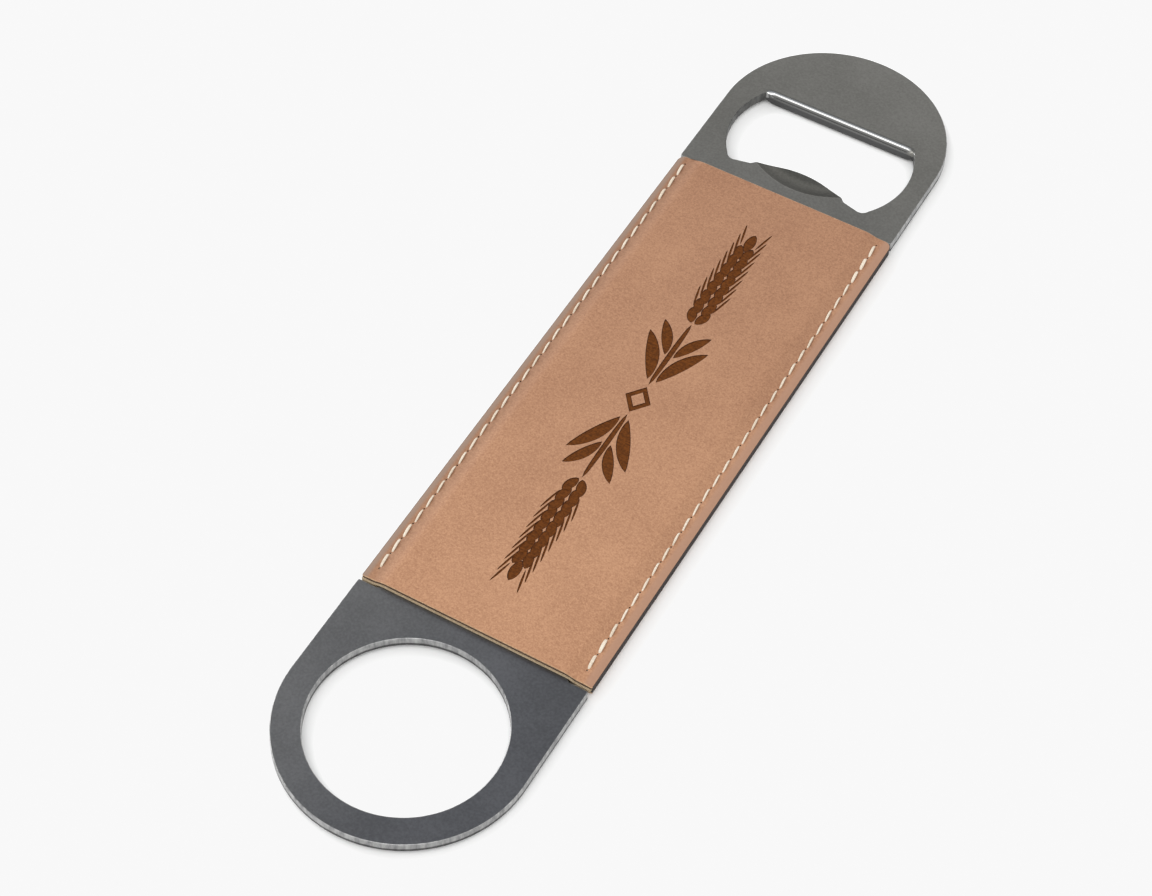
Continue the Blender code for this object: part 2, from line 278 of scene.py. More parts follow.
def sprig():
    """Half of the ornament, in millimetres: a stem with leaves and an ear of grain, up to +Y."""
    shapes = [petal((0, 3.4), 0, 14.6, 0.9, fullness=0.35)]
    for side in (-1, 1):
        for foot, lean, length, width, bend in ((4.4, 12, 10.5, 2.3, 26), (10.2, 16, 7.6, 1.9, 22)):
            shapes.append(petal((side * 0.75, foot), side * lean, length, width, side * bend))
        for k in range(8):
            foot, lean = 18.3 + 2.25 * k, 25 - k
            tip_x = 0.5 + 3.5 * math.sin(math.radians(lean - 4))
            grain = petal((side * 0.32, foot), side * lean, 3.5, 1.7, -side * 10, 0.6)
            awn = petal((side * tip_x, foot + 3.45), side * 13, 4.6, 0.36, 0, 0.5)
            shapes += [grain, awn]
    top_grain = petal((0, 36.3), 0, 4.2, 1.8, 0, 0.6)
    return [*shapes, top_grain]


def ornament():
    """Closed outlines, none of them overlapping: two sprigs back to back and a lozenge ring."""
    shapes = sprig()
    shapes += [[(-x, -y) for x, y in shape] for shape in shapes]
    for size in (1.0, 0.55):
        shapes.append([(2.3 * size, 0), (0, 2.9 * size), (-2.3 * size, 0), (0, -2.9 * size)])
    middle = (SLEEVE_LOW.y + SLEEVE_HIGH.y) / 2
    return [[(x * MM, middle + y * MM) for x, y in shape] for shape in shapes]


# ---------------------------------------------------------------- sheet pieces


def area(loop):
    xy = np.array(loop)
    ahead = np.roll(xy, -1, axis=0)
    return float((xy[:, 0] * ahead[:, 1] - ahead[:, 0] * xy[:, 1]).sum()) / 2


def turned(loop, anticlockwise):
    return loop if (area(loop) > 0) == anticlockwise else loop[::-1]


def inset(loop, distance):
    """The outline moved to the left of its own direction, corners mitred."""
    xy = np.array(loop)
    ahead = np.roll(xy, -1, axis=0) - xy
    ahead /= np.linalg.norm(ahead, axis=1)[:, None]
    left = np.stack((-ahead[:, 1], ahead[:, 0]), axis=1)
    mitre = left + np.roll(left, 1, axis=0)
    mitre /= np.linalg.norm(mitre, axis=1)[:, None]
    stretch = 1 / np.clip((mitre * left).sum(axis=1), 0.45, 1)
    return xy + mitre * (stretch * distance)[:, None]


def within(points, loop):
    """Which of the points lie inside a closed outline."""
    ends = np.asarray(loop, float)
    found = np.zeros(len(points), bool)
    low, high = ends.min(axis=0), ends.max(axis=0)
    near = np.flatnonzero(((points >= low) & (points <= high)).all(axis=1))
    x, y = points[near, 0], points[near, 1]
    odd = np.zeros(len(near), bool)
    for start, end in zip(np.roll(ends, 1, axis=0), ends):
        if start[1] == end[1]:
            continue
        spans = (start[1] > y) != (end[1] > y)
        crossing = start[0] + (y - start[1]) * (end[0] - start[0]) / (end[1] - start[1])
        odd ^= spans & (crossing > x)
    found[near] = odd
    return found


def odd_count(points, loops):
    """Which of the points lie inside an odd number of the outlines."""
    odd = np.zeros(len(points), bool)
    for loop in loops:
        odd ^= within(points, loop)
    return odd


def link(piece, node):
    """Puts a finished piece in the scene, on the one body, in place of its CAD node."""
    bpy.context.scene.collection.objects.link(piece)
    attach(piece, BODY)
    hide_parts(node)


def mesh_object(name, points, faces, looks, face_looks=None, crease=35):
    mesh = bpy.data.meshes.new(name)
    mesh.from_pydata([tuple(p) for p in points], [], [tuple(f) for f in faces])
    for look in looks:
        mesh.materials.append(look)
    if face_looks is not None:
        mesh.polygons.foreach_set("material_index", np.asarray(face_looks, np.int32))
    mesh.shade_smooth()
    mesh.set_sharp_from_angle(angle=math.radians(crease))
    mesh.update()
    return bpy.data.objects.new(name, mesh)


def part_shading(mesh, flat_faces):
    """Marks the line between the first faces and the rest sharp, so that each shades alone."""
    corners = np.zeros(len(mesh.loops), np.int32)
    mesh.loops.foreach_get("edge_index", corners)
    sizes = np.zeros(len(mesh.polygons), np.int32)
    mesh.polygons.foreach_get("loop_total", sizes)
    is_flat = np.repeat(np.arange(len(sizes)) < flat_faces, sizes)
    beside_flat = np.bincount(corners[is_flat], minlength=len(mesh.edges)) > 0
    beside_rest = np.bincount(corners[~is_flat], minlength=len(mesh.edges)) > 0
    for i in np.flatnonzero(beside_flat & beside_rest):
        mesh.edges[int(i)].use_edge_sharp = True


def sheet(name, looks, loops, top, bottom, edge, guides=(), loose=(), floors=(), rim_look=None):
    """A closed sheet over the plan between the loops, the first of which is its outline.

    top and bottom give heights for arrays of x and y. edge is the radius that each cut edge is
    rounded to. floors are pairs of an outline and the number of the look that the top takes inside
    it. rim_look gives, from x and y on a loop, the number of the cut edge's look.
    """
    loops = [turned(list(loop), i == 0) for i, loop in enumerate(loops)]
    insets = [inset(loop, edge) for loop in loops]
    points, edges, starts = [], [], []
    for ring in insets:
        starts.append(len(points))
        points += [Vector(p) for p in ring]
        edges += [(starts[-1] + i, starts[-1] + (i + 1) % len(ring)) for i in range(len(ring))]
    for guide in guides:
        first = len(points)
        points += [Vector(p) for p in guide]
        edges += [(first + i, first + i + 1) for i in range(len(guide) - 1)]
    points += [Vector(p) for p in loose]
    flat, _, triangles, sources, *_ = delaunay_2d_cdt(points, edges, [], 0, 1e-8)
    xy = np.array([tuple(p) for p in flat])
    triangles = np.array(triangles)
    corners = xy[triangles]
    one, two = corners[:, 1] - corners[:, 0], corners[:, 2] - corners[:, 0]
    twice_area = one[:, 0] * two[:, 1] - one[:, 1] * two[:, 0]
    triangles[twice_area < 0] = triangles[twice_area < 0][:, ::-1]
    centres = corners.mean(axis=1)
    keep = odd_count(centres, insets) & (np.abs(twice_area) > 1e-16)
    triangles, centres = triangles[keep], centres[keep]
    used, compact = np.unique(triangles, return_inverse=True)
    triangles = compact.reshape(-1, 3)
    where = {int(old): new for new, old in enumerate(used)}
    place = {i: where[new] for new, group in enumerate(sources) for i in group if new in where}
    xy = xy[used]
    count = len(xy)
    solid = [np.column_stack((xy, top(xy[:, 0], xy[:, 1])))]
    solid.append(np.column_stack((xy, bottom(xy[:, 0], xy[:, 1]))))
    faces = [tuple(t) for t in triangles] + [tuple(t[::-1] + count) for t in triangles]
    face_looks = np.zeros(len(faces), int)
    for outline, look in floors:
        face_looks[: len(triangles)][within(centres, outline)] = look
    face_looks = list(face_looks)
    total = 2 * count
    turns = np.radians((22.5, 45, 67.5, 90))
    for loop, ring, start in zip(loops, insets, starts):
        inner = [place[start + i] for i in range(len(ring))]
        rows = [inner]
        high = top(ring[:, 0], ring[:, 1])
        low = bottom(ring[:, 0], ring[:, 1])
        for face, sign, order in ((high, -1, turns), (low, 1, turns[::-1])):
            for turn in order:
                out = inset(loop, edge * (1 - math.sin(turn)))
                z = face + sign * edge * (1 - math.cos(turn))
                solid.append(np.column_stack((out, z)))
                rows.append(list(range(total, total + len(ring))))
                total += len(ring)
        rows.append([i + count for i in inner])
        for upper, lower in zip(rows, rows[1:]):
            for i in range(len(ring)):
                j = (i + 1) % len(ring)
                faces.append((upper[i], lower[i], lower[j], upper[j]))
                face_looks.append(rim_look(*loop[i]) if rim_look else 0)
    made = mesh_object(name, np.concatenate(solid), faces, looks, face_looks)
    part_shading(made.data, 2 * len(triangles))
    return made


def smooth(share):
    share = np.clip(share, 0.0, 1.0)
    return share * share * (3 - 2 * share)


def grid(x_low, x_high, y_low, y_high, step_x, step_y):
    """Loose points over a rectangle, every other row shifted by half a step."""
    made = []
    for row, y in enumerate(np.arange(y_low, y_high, step_y)):
        shift = step_x / 2 * (row % 2)
        made += [(x + shift, y) for x in np.arange(x_low, x_high, step_x)]
    return np.array(made)


def clear_of(points, loops, gap):
    """The points that keep a gap from every outline."""
    keep = np.ones(len(points), bool)
    for loop in loops:
        ends = np.asarray(loop, float)
        low, high = ends.min(axis=0) - gap, ends.max(axis=0) + gap
        near = np.flatnonzero(((points >= low) & (points <= high)).all(axis=1) & keep)
        if not len(near):
            continue
        start, span = ends, np.roll(ends, -1, axis=0) - ends
        away = points[near][:, None, :] - start[None]
        length = np.maximum((span**2).sum(axis=1), 1e-18)
        share = np.clip((away * span[None]).sum(axis=2) / length, 0, 1)
        distance = np.linalg.norm(away - share[..., None] * span[None], axis=2).min(axis=1)
        keep[near[distance < gap]] = False
    return points[keep]


# ---------------------------------------------------------------- shader maths

MIX_LOW, MIX_HIGH, MIX_RESULT = 6, 7, 2  # a Mix node's colour sockets


class Value:
    """A socket of a finish's nodes. Arithmetic on it adds Math nodes."""

    def __init__(self, finish, socket):
        self.finish = finish
        self.socket = socket

    def math(self, operation, *terms):
        return self.finish.node("ShaderNodeMath", {"operation": operation}, dict(enumerate(terms)))

    def __add__(self, other):
        return self.math("ADD", self, other)

    def __sub__(self, other):
        return self.math("SUBTRACT", self, other)

    def __rsub__(self, other):
        return self.math("SUBTRACT", other, self)

    def __mul__(self, other):
        return self.math("MULTIPLY", self, other)

    def __truediv__(self, other):
        return self.math("DIVIDE", self, other)

    __radd__ = __add__
    __rmul__ = __mul__

    def between(self, low, high):
        """0 at low, 1 at high, with soft ends."""
        settings = {"interpolation_type": "SMOOTHSTEP"}
        inputs = {"Value": self, "From Min": low, "From Max": high}
        return self.finish.node("ShaderNodeMapRange", settings, inputs)


class Finish:
    """One material and the nodes that colour it."""

    def __init__(self, name):
        self.material = bpy.data.materials.new(name)
        self.material.use_nodes = True
        self.tree = self.material.node_tree
        self.shader = self.tree.nodes["Principled BSDF"]

    def node(self, kind, settings=None, inputs=None, output=0):
        """A node with its settings made first, then its sockets fed. Gives one output."""
        made = self.tree.nodes.new(kind)
        for key, value in (settings or {}).items():
            setattr(made, key, value)
        for key, value in (inputs or {}).items():
            self.feed(made.inputs[key], value)
        return Value(self, made.outputs[output])

    def feed(self, socket, value):
        if isinstance(value, Value):
            self.tree.links.new(value.socket, socket)
        elif socket.type == "RGBA":
            socket.default_value = (*value, 1.0)
        else:
            socket.default_value = value

    def surface(self, **inputs):
        """Sets the shader's own sockets, named with _ for a space."""
        for key, value in inputs.items():
            self.feed(self.shader.inputs[key.replace("_", " ")], value)

    def place(self, stretch=(1.0, 1.0, 1.0)):
        """Where a point is, in millimetres, each way multiplied by a stretch."""
        spot = self.node("ShaderNodeTexCoord", output="Object")
        scale = tuple(s / MM for s in stretch)
        settings = {"operation": "MULTIPLY"}
        return self.node("ShaderNodeVectorMath", settings, {0: spot, 1: scale})

    def noise(self, where, scale, detail=2.0, roughness=0.5, distortion=0.0):
        inputs = {"Vector": where, "Scale": scale, "Detail": detail}
        inputs |= {"Roughness": roughness, "Distortion": distortion}
        return self.node("ShaderNodeTexNoise", None, inputs, "Fac")

    def cells(self, where, scale, feature="F1"):
        inputs = {"Vector": where, "Scale": scale}
        return self.node("ShaderNodeTexVoronoi", {"feature": feature}, inputs, "Distance")

    def axes(self, where):
        made = self.node("ShaderNodeSeparateXYZ", None, {0: where})
        outputs = made.socket.node.outputs
        return [Value(self, outputs[i]) for i in range(3)]

    def mix(self, share, low, high):
        """Colour low where share is 0 and high where it is 1."""
        settings = {"data_type": "RGBA", "clamp_factor": True}
        inputs = {"Factor": share, MIX_LOW: low, MIX_HIGH: high}
        return self.node("ShaderNodeMix", settings, inputs, MIX_RESULT)

    def bump(self, height, depth, strength):
        """A normal from a height of 0 to 1 that stands for depth metres."""
        inputs = {"Strength": strength, "Distance": depth, "Height": height}
        return self.node("ShaderNodeBump", None, inputs)

    def two_tone(self, pattern, low, high, dark, light, depth, strength, **inputs):
        """Two tones that follow a pattern, which is the surface's relief as well."""
        colour = self.mix(pattern.between(low, high), dark, light)
        normal = self.bump(pattern, depth, strength)
        self.surface(Base_Color=colour, Normal=normal, **inputs)
        return self.material


def srgb(red, green, blue):
    """Linear colour of a shade given in 0 to 255."""
    shades = (c / 255 for c in (red, green, blue))
    return tuple(c / 12.92 if c <= 0.04045 else ((c + 0.055) / 1.055) ** 2.4 for c in shades)


# ---------------------------------------------------------------- finishes

STEEL_TONE = 120
# the pressed tongue's steel is painted darker, as shade for the darker reflection of its sunken
# face
PRESSED_PAINTED_SHADE_TONE = 88


def grey(level, red=0, green=0, blue=0):
    """A shade near a grey level in 0 to 255."""
    return srgb(level + red, level + green, level + blue)


def satin_shade(finish, where, tone):
    """Colour, roughness and height of tumbled stainless sheet: an even grey with a fine grain.

    Painted reflection makes it a little darker and bluer by the finger hole, most so on the right,
    and warmer by the mouth.
    """
    fine = finish.noise(where, 2.4, 4.0, 0.62)
    cloud = finish.noise(where, 0.07, 3.0, 0.55)
    pits = finish.cells(where, 3.1)
    across, along, _ = finish.axes(where)
    # painted reflection: darker and bluer by the finger hole, warmer by the mouth
    painted_light_fade = along.between(-70.0, 75.0)
    # painted light: by the finger hole the left side is lighter
    left = 0.8 * (0.0 - across).between(-12.0, 20.0)
    shade = (0.4 * cloud + 0.6 * fine).between(0.32, 0.68)
    # the finger-hole end, darker and bluer as painted reflection
    low = finish.mix(shade, grey(tone - 17, 0, 1, 4), grey(tone - 2, 0, 1, 5))
    # a lit copy of the finger-hole colours, for that painted light
    lit = finish.mix(shade, grey(tone - 4), grey(tone + 11))
    low = finish.mix(left, low, lit)
    # the mouth end, warmer as painted reflection
    high = finish.mix(shade, grey(tone - 7, 0, -1, -5), grey(tone + 8, 0, -1, -5))
    height = fine * 0.7 + pits.between(0.0, 0.5) * 0.3
    return finish.mix(painted_light_fade, low, high), 0.30 + 0.05 * cloud + 0.04 * fine, height


def satin_steel(name, tone):
    finish = Finish(name)
    colour, roughness, height = satin_shade(finish, finish.place(), tone)
    relief = finish.bump(height, 0.004 * MM, 0.5)
    finish.surface(Base_Color=colour, Metallic=1.0, Roughness=roughness, Normal=relief)
    return finish.material


def cut_streaks(finish):
    """Marks that run through the thickness of the sheet, where it was cut."""
    return finish.noise(finish.place((1.3, 1.3, 0.3)), 1.0, 4.0, 0.6)


def sheared_edge():
    """The cut side of the sheet: a bright burnished band over a band darkened partly by its dull
    fracture and partly by painted shade, streaked.
    """
    finish = Finish("sheared_edge")
    streaks = cut_streaks(finish)
    wander = finish.noise(finish.place((0.5, 0.5, 0.0)), 1.0, 2.0)
    _, _, height = finish.axes(finish.place())
    level = (height - BLADE_BOTTOM / MM) / (STEEL / MM) + 0.2 * (wander - 0.5)
    burnished = level.between(0.24, 0.42)
    # the lower band: partly the dull fracture of the cut, partly painted shade at the edge's foot
    torn_and_painted_shade = finish.mix(streaks.between(0.3, 0.7), srgb(62, 62, 63), srgb(90, 90, 90))
    bright = finish.mix(streaks.between(0.3, 0.7), srgb(122, 122, 123), srgb(172, 172, 171))
    finish.surface(
        Base_Color=finish.mix(burnished, torn_and_painted_shade, bright),
        Metallic=1.0,
        Roughness=0.5 - 0.2 * burnished + 0.1 * streaks,
        Normal=finish.bump(streaks, 0.015 * MM, 0.5),
    )
    return finish.material


def punched_edge():
    """The dull cut side round the mouth."""
    finish = Finish("punched_edge")
    streaks = cut_streaks(finish)
    tones = srgb(78, 78, 77), srgb(112, 112, 110)
    metal = {"Metallic": 1.0, "Roughness": 0.5}
    return finish.two_tone(streaks, 0.3, 0.7, *tones, 0.015 * MM, 0.5, **metal)


def rolled_lip_painted_light():
    """The lip's edge: near white where it rolls over, a painted highlight with some polish from the
    press, then grey on the wall and dark at its foot, as painted shade.
    """
    finish = Finish("rolled_lip_painted_light")
    where = finish.place()
    satin, roughness, height = satin_shade(finish, where, STEEL_TONE)
    wander = finish.noise(finish.place((0.3, 0.0, 0.0)), 1.0, 2.0)
    across, _, level = finish.axes(where)
    below = BLADE_TOP / MM - level
    # painted highlight: a near-white band where the lip starts to roll, ended short of its right
    # end
    painted_highlight_band = below.between(0.015, 0.06) * (1 - across.between(12.8, 13.7))
    # painted shade: grey on the wall below it
    wall = (below + 0.05 * (wander - 0.5)).between(0.18, 0.3)
    # painted shade: dark at the wall's foot, for the mirrored shadow under the lip
    foot = (below + 0.1 * (wander - 0.5)).between(0.85, 1.1)
    painted_highlight_and_wall = finish.mix(wall, srgb(250, 250, 248), srgb(104, 104, 103))
    upper = finish.mix(painted_highlight_band, satin, painted_highlight_and_wall)
    finish.surface(
        Base_Color=finish.mix(foot, upper, srgb(80, 80, 80)),
        Metallic=1.0,
        Roughness=roughness - 0.16 * painted_highlight_band + 0.2 * foot,
        Normal=finish.bump(height, 0.002 * MM, 0.5),
    )
    return finish.material


def leatherette():
    """Tan coat with a fine pebbled grain; painted light makes it a little lighter by the finger
    hole.

    Painted shade darkens and greys it along its left side, and painted light makes the right one
    paler.
    """
    finish = Finish("leatherette")
    where = finish.place()
    pebbles = finish.cells(finish.place((1.0, 0.9, 1.0)), 2.0, "SMOOTH_F1")
    creases = finish.noise(where, 2.2, 5.0, 0.7, 0.6)
    speckle = finish.noise(where, 3.4, 3.0, 0.65)
    cloud = finish.noise(where, 0.09, 2.0, 0.5)
    across, along, _ = finish.axes(where)
    # painted light: lighter towards the finger hole
    painted_light_fade = (0.0 - along).between(-55.0, 60.0)
    left = 0.0 - across
    tone = 0.45 * creases + 0.4 * speckle + 0.15 * cloud
    deep = finish.mix(painted_light_fade, srgb(126, 85, 59), srgb(140, 97, 68))
    pale = finish.mix(painted_light_fade, srgb(158, 116, 86), srgb(174, 130, 97))
    colour = finish.mix(tone.between(0.33, 0.67), deep, pale)
    # painted shade: darker on the left shoulder, darker and greyer on the left edge; painted light:
    # paler on the right edge
    for share, painted_light_tint in (
        (0.35 * left.between(15.8, 17.8), srgb(104, 72, 50)),
        (0.8 * left.between(18.4, 19.2), srgb(124, 104, 90)),
        (0.8 * across.between(18.5, 19.3), srgb(152, 116, 94)),
    ):
        colour = finish.mix(share, colour, painted_light_tint)
    height = 0.55 * (1 - pebbles) + 0.45 * creases
    finish.surface(
        Base_Color=colour,
        Roughness=0.5 + 0.16 * creases,
        Specular_IOR_Level=0.4,
        Sheen_Weight=0.1,
        Sheen_Roughness=0.5,
        Normal=finish.bump(height, 0.05 * MM, 0.6),
    )
    return finish.material


def engraved_core(name, dark, light):
    """What the engraving uncovers: brown, scorched, with fine scan lines."""
    finish = Finish(name)
    where = finish.place()
    mottle = finish.noise(where, 2.2, 4.0, 0.6)
    scan = finish.noise(finish.place((0.4, 9.0, 1.0)), 1.0, 1.0)
    tone = 0.65 * mottle + 0.35 * scan
    gloss = {"Roughness": 0.85, "Specular_IOR_Level": 0.12}
    return finish.two_tone(tone, 0.35, 0.65, dark, light, 0.03 * MM, 0.6, **gloss)


def dyed_edge():
    """Edge paint along the sleeve's long sides."""
    finish = Finish("dyed_edge")
    grain = finish.noise(finish.place((1.0, 0.6, 3.0)), 1.6, 3.0)
    tones = srgb(30, 24, 23), srgb(56, 46, 42)
    gloss = {"Roughness": 0.62 + 0.15 * grain, "Specular_IOR_Level": 0.35}
    return finish.two_tone(grain, 0.3, 0.7, *tones, 0.05 * MM, 0.5, **gloss)


def foam_core():
    """Dark middle of the leatherette, seen at the sleeve's ends."""
    finish = Finish("foam_core")
    pores = finish.cells(finish.place(), 6.0)
    tones = srgb(46, 33, 25), srgb(84, 62, 48)
    return finish.two_tone(pores, 0.1, 0.6, *tones, 0.05 * MM, 0.6, Roughness=0.9)


def backing_cloth(name, dark, light):
    """Light knitted backing, seen as a fuzzy line at the sleeve's ends."""
    finish = Finish(name)
    weave = finish.noise(finish.place(), 4.0, 4.0, 0.7)
    fuzz = {"Roughness": 0.95, "Sheen_Weight": 0.2}
    return finish.two_tone(weave, 0.3, 0.7, dark, light, 0.08 * MM, 0.8, **fuzz)


def sewing_thread():
    """Off-white twisted thread, with fine fibres along it."""
    finish = Finish("sewing_thread")
    fibres = finish.noise(finish.place((9.0, 3.0, 9.0)), 1.0, 4.0, 0.65)
    cloud = finish.noise(finish.place(), 0.25, 2.0)
    tone = 0.7 * fibres + 0.3 * cloud
    finish.surface(
        Base_Color=finish.mix(tone.between(0.3, 0.7), srgb(182, 165, 143), srgb(218, 207, 192)),
        Roughness=0.7,
        Sheen_Weight=0.3,
        Sheen_Roughness=0.4,
        Normal=finish.bump(fibres, 0.04 * MM, 0.6),
    )
    return finish.material


def paper_floor():
    finish = Finish("paper_floor")
    finish.surface(Base_Color=(0.88, 0.88, 0.88), Roughness=1.0, Specular_IOR_Level=0.0)
    return finish.material


# ---------------------------------------------------------------- blade

PRESSED, SHEARED, ROLLED, PUNCHED = range(1, 5)  # the blade's looks, after the satin one


def tongue_fold(x):
    """Where the tongue starts to bend down, as a curve from one root to the other."""
    share = np.minimum(np.abs(x) / TONGUE_HALF_WIDTH, 1.0)
    return TONGUE_FOLD_Y + (TONGUE_ROOT[1] - TONGUE_FOLD_Y) * share**2


def tongue_sink(x, y):
    """How far the crescent tongue is pressed below the sheet."""
    inside = (np.abs(x) < TONGUE_HALF_WIDTH) & (y < LIP_Y - LIP_ROLL) & (y > tongue_fold(x))
    span = 0.75 * (TONGUE_TIP_Y - TONGUE_FOLD_Y)  # flat again for the last quarter
    share = np.clip((y - tongue_fold(x)) / span, 0.0, 1.0)
    return np.where(inside, TONGUE_DROP * np.sin(share * math.pi / 2), 0.0)


def lip_share(x):
    """1 along the lip, down to 0 past its ends."""
    return smooth((LIP_HALF_LENGTH + LIP_OVERRUN - np.abs(x)) / LIP_TAPER)


def blade_top(x, y):
    back = y - LIP_Y
    rolled = (back >= -TOLERANCE) & (back < LIP_ROLL) & (np.abs(x) < LIP_REACH)
    ahead = LIP_ROLL - np.clip(back, 0, LIP_ROLL)
    rise = LIP_ROLL - np.sqrt(np.maximum(LIP_ROLL**2 - ahead**2, 0.0))
    return BLADE_TOP - tongue_sink(x, y) - np.where(rolled, rise * lip_share(x), 0.0)


def blade_bottom(x, y):
    back = y - LIP_Y
    near = (back >= -TOLERANCE) & (back < LIP_HEEL) & (np.abs(x) < LIP_REACH)
    hang = LIP_DEPTH * lip_share(x) * smooth(2 * (LIP_HEEL - back) / LIP_HEEL)
    return BLADE_BOTTOM - tongue_sink(x, y) - np.where(near, hang, 0.0)


def blade_guides():
    """Lines in the mesh: along the lip's roll and heel, and along the tongue's fold."""
    turns = np.radians(np.linspace(30, 90, 12))
    rows = list(LIP_Y + LIP_ROLL * (1 - np.cos(turns)))
    rows += list(LIP_Y + LIP_HEEL * np.linspace(0.5, 1.0, 6))
    lip_lines = [[(x, y) for x in np.linspace(-LIP_REACH, LIP_REACH, 64)] for y in rows]
    folds = np.linspace(-0.96, 0.96, 61) * TONGUE_HALF_WIDTH
    fold = [(x, float(tongue_fold(x))) for x in folds]
    before = [(x, y - 0.12 * MM) for x, y in fold]
    return [*lip_lines, before, fold]


def blade_cut_look(x, y):
    """Along the lip, some polish with painted highlight and shade; dull round the rest of the mouth
    and sheared elsewhere.
    """
    if abs(y - LIP_Y) < 0.2 * MM and abs(x) < LIP_HALF_LENGTH:
        return ROLLED
    around_mouth = SLEEVE_HIGH.y < y < LIP_Y and abs(x) < MOUTH_HALF_WIDTH + MM
    return PUNCHED if around_mouth else SHEARED


def build_blade():
    finger_hole = arc((0, FINGER_HOLE_Y), FINGER_HOLE_RADIUS, 0, 360, 200)[:-1]
    loops = [blade_outline(), finger_hole, mouth_outline()]
    guides = blade_guides()
    half = TONGUE_HALF_WIDTH + MM
    loose = grid(-half, half, TONGUE_FOLD_Y + 0.2 * MM, TONGUE_TIP_Y, 0.3 * MM, 0.26 * MM)
    loose = clear_of(loose, loops, 0.25 * MM)
    beyond = LIP_Y - 6 * MM  # a line that lies past the tongue's tip
    crescent = guides[-1] + [(TONGUE_HALF_WIDTH, beyond), (-TONGUE_HALF_WIDTH, beyond)]
    low, high = LIP_Y - MM, LIP_Y + LIP_ROLL
    strip = [(-LIP_REACH, low), (LIP_REACH, low), (LIP_REACH, high), (-LIP_REACH, high)]
    face = satin_steel("satin_steel", STEEL_TONE)
    # painted shade: the pressed tongue in a darker steel
    pressed = satin_steel("pressed_steel_painted_shade", PRESSED_PAINTED_SHADE_TONE)
    blade = sheet(
        "blade",
        [face, pressed, sheared_edge(), rolled_lip_painted_light(), punched_edge()],
        loops,
        blade_top,
        blade_bottom,
        BLADE_EDGE_RADIUS,
        guides,
        loose,
        floors=[(crescent, PRESSED), (strip, ROLLED)],
        rim_look=blade_cut_look,
    )
    link(blade, "steel_blade")


# ---------------------------------------------------------------- sleeve

FACE, FLOOR, DYED, WALL, CUT = range(5)  # a panel's looks, in order


def drop(x, facing, depth=0.0):
    """How far a face, at some depth in a panel, has bent away from the flat over the steel."""
    outermost, innermost = DRAPE_START
    share = depth / PANEL
    start = outermost + (innermost - outermost) * share
    whole = FRONT_DROP if facing > 0 else STEEL - FRONT_DROP
    rolled = np.clip(1 - from_side(x) / EDGE_ROLL_WIDTH, 0, 1) ** 2
    bent = smooth((np.abs(x) - start) / (DRAPE_END - start))
    return whole * bent + EDGE_ROLL * (1 - share) * rolled


def pull(x, y):
    """How far the stitches pull the coat in: a soft groove, and a pit at each hole."""
    from_seam = (np.abs(x) - SEAM_X) / GROOVE_SPREAD
    along = (FIRST_HOLE_Y - y) / STITCH_PITCH
    from_hole = (along - np.clip(np.round(along), 0, STITCHES)) * STITCH_PITCH / GROOVE_SPREAD
    ends = smooth((along + 0.4) / 0.5) * smooth((STITCHES + 0.4 - along) / 0.5)
    groove = GROOVE_DEPTH * np.exp(-(from_seam**2)) * ends
    return groove + PIT_DEPTH * np.exp(-(from_seam**2 + from_hole**2))


def wave(x, y):
    """The slight unevenness of a stitched panel."""
    u, v = x / MM, y / MM
    flat = smooth((17.2 - np.abs(u)) / 3.0)
    slow = np.sin(0.11 * v + 0.8) * np.cos(0.13 * u - 0.4) + 0.6 * np.sin(0.057 * v - 0.19 * u)
    return WAVE_HEIGHT * slow * flat


def coat_height(facing, engraved):
    """The outward height of a coat's face above the middle of the steel."""
    reach = FRONT_FACE - MID_PLANE - SETTLE

    def height(x, y):
        sunk = ENGRAVING_DEPTH * odd_count(np.column_stack((x, y)), engraved)
        return reach - drop(x, facing) - pull(x, y) + wave(x, y) - sunk

    return height


def layer_height(facing, depth):
    """The same for the plain face that lies at some depth in a panel."""
    reach = FRONT_FACE - MID_PLANE - depth

    def height(x, y):
        return reach - drop(x, facing, depth)

    return height


def top_and_bottom(facing, outward, inward):
    """A layer's top and bottom, from the outward heights of its two faces."""

    def placed(height):
        return lambda x, y: MID_PLANE + facing * height(x, y)

    faces = placed(outward), placed(inward)
    return faces if facing > 0 else faces[::-1]


def panel_points(loops):
    """Loose points: close along the seams, wider over the flat middle."""
    low, high = SLEEVE_LOW.y, SLEEVE_HIGH.y
    flat, bent = DRAPE_START
    points = [
        grid(near, far, low, high, step_x, step_y)
        for near, far, step_x, step_y in (
            (SLEEVE_LOW.x, -bent, 0.24 * MM, 0.27 * MM),
            (bent, SLEEVE_HIGH.x, 0.24 * MM, 0.27 * MM),
            (-bent, -flat, 0.4 * MM, 0.8 * MM),
            (flat, bent, 0.4 * MM, 0.8 * MM),
            (-flat, flat, 1.1 * MM, 1.1 * MM),
        )
    ]
    points = np.concatenate(points)
    inside = within(points, loops[0])
    return clear_of(points[inside], loops, 0.17 * MM)


def side_look(x, y):
    """The long sides are dyed, and the needle holes are as they were cut."""
    return DYED if from_side(x) < LOW_CORNER / 2 else FACE


def coat_rim_look(x, y):
    """As side_look, but pale where the coat was cut across at its ends, partly the raw cut and
    partly a painted highlight on its edge.
    """
    low, high = SLEEVE_LOW.y + COAT_SET_BACK, SLEEVE_HIGH.y
    at_end = y < low + LOW_CORNER / 2 or y > high - LOW_CORNER / 2
    return CUT if at_end else side_look(x, y)


def tuples(rings):
    return [[tuple(point) for point in ring] for ring in rings]


